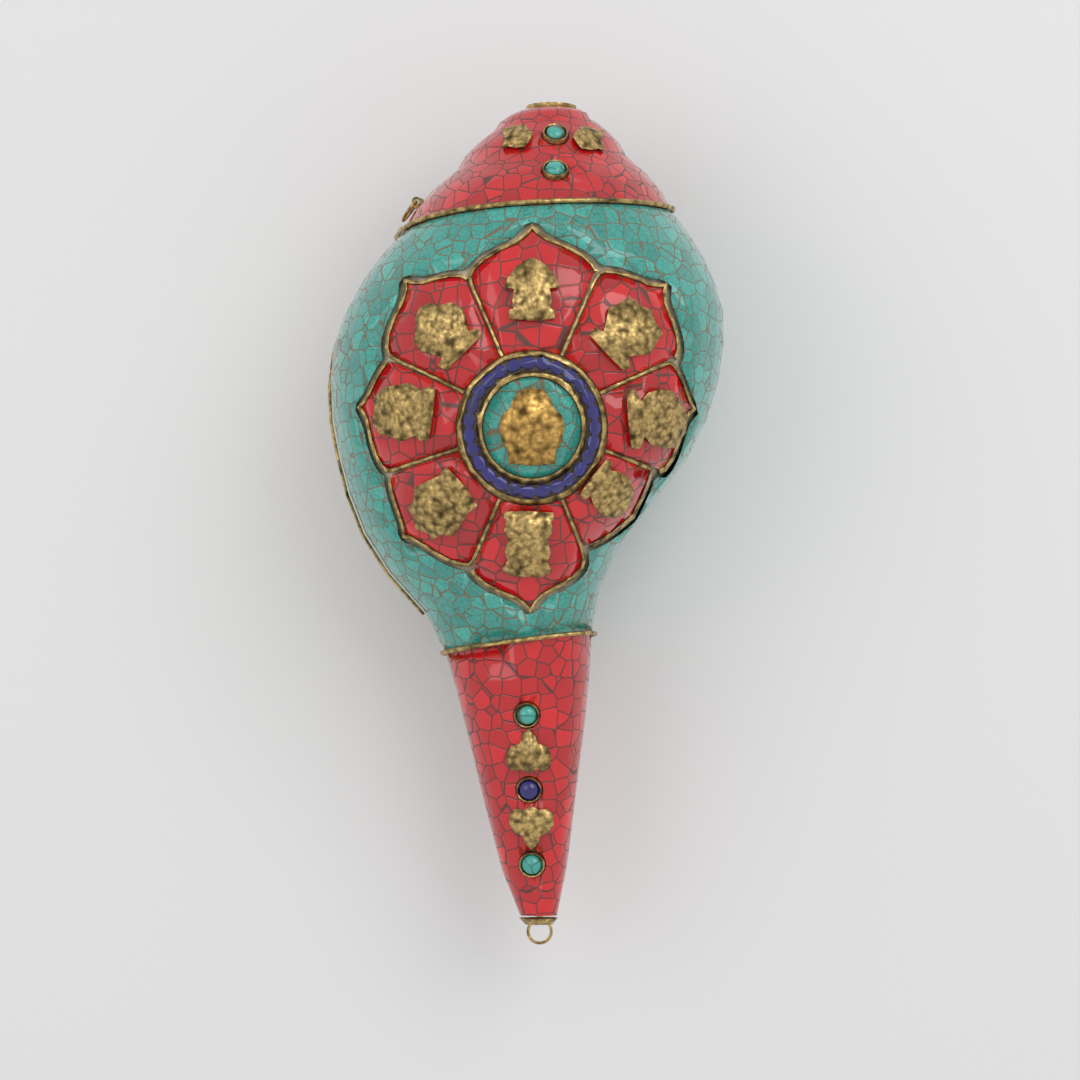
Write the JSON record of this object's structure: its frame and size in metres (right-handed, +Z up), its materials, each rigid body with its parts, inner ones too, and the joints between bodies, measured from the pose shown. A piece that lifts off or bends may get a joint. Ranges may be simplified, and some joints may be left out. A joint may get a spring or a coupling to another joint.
{
  "type": "conch shell trumpet",
  "caption": "Ceremonial conch shell trumpet with a stone mosaic skin, brass fittings, mouthpiece and strap rings.",
  "frame": {"origin": "centre of the bounding box on the surface that the belly rests on", "axes": "+Y along the coil to the mouthpiece, +Z up from the belly to the back, +X to the right"},
  "size_m": [0.1187, 0.25, 0.0975],
  "materials": {
    "shell": "satin",
    "coral": "gloss",
    "turquoise": "gloss",
    "lapis": "gloss",
    "brass": "antique",
    "gilt": "gilt"
  },
  "bodies": {
    "trumpet": {"body_mosaic": "turquoise", "canal_bezel_1": "brass", "canal_bezel_2": "brass", "canal_bezel_3": "brass", "canal_cabochon_1": "turquoise", "canal_cabochon_2": "lapis", "canal_cabochon_3": "turquoise", "canal_filigree_1": "brass", "canal_filigree_2": "brass", "canal_mosaic": "coral", "canal_wire": "brass", "conch_symbol": "brass", "dharma_wheel": "brass", "endless_knot": "brass", "golden_fish": "brass", "inner_ring_wire": "brass", "lapis_bead_ring": "lapis", "lip_wire": "brass", "lotus_flower": "brass", "medallion_disc": "turquoise", "mouthpiece": "brass", "outer_ring_wire": "brass", "parasol": "brass", "petal_1": "coral", "petal_2": "coral", "petal_3": "coral", "petal_4": "coral", "petal_5": "coral", "petal_6": "coral", "petal_7": "coral", "petal_8": "coral", "petal_wire_1": "brass", "petal_wire_2": "brass", "petal_wire_3": "brass", "petal_wire_4": "brass", "petal_wire_5": "brass", "petal_wire_6": "brass", "petal_wire_7": "brass", "petal_wire_8": "brass", "seated_figure": "gilt", "shell_core": "shell", "shoulder_lug": "brass", "spire_bezel_1": "brass", "spire_bezel_2": "brass", "spire_cabochon_1": "turquoise", "spire_cabochon_2": "turquoise", "spire_filigree_1": "brass", "spire_filigree_2": "brass", "spire_mosaic": "coral", "suture_wire": "brass", "tip_cap": "brass", "treasure_vase": "brass", "victory_banner": "brass"},
    "tail_ring": {"tail_ring": "brass"},
    "shoulder_ring": {"shoulder_ring": "brass"}
  },
  "joints": [
    {"name": "tail_ring_swing", "type": "hinge", "parent": "trumpet", "child": "tail_ring", "pos_m": [0.00435, -0.1176, 0.0296], "axis": [1, 0, 0], "range_deg": [-60, 25]},
    {"name": "shoulder_ring_swing", "type": "hinge", "parent": "trumpet", "child": "shoulder_ring", "pos_m": [-0.03247, 0.09656, 0.04754], "axis": [0, 0, 1], "range_deg": [-60, 0]}
  ]
}
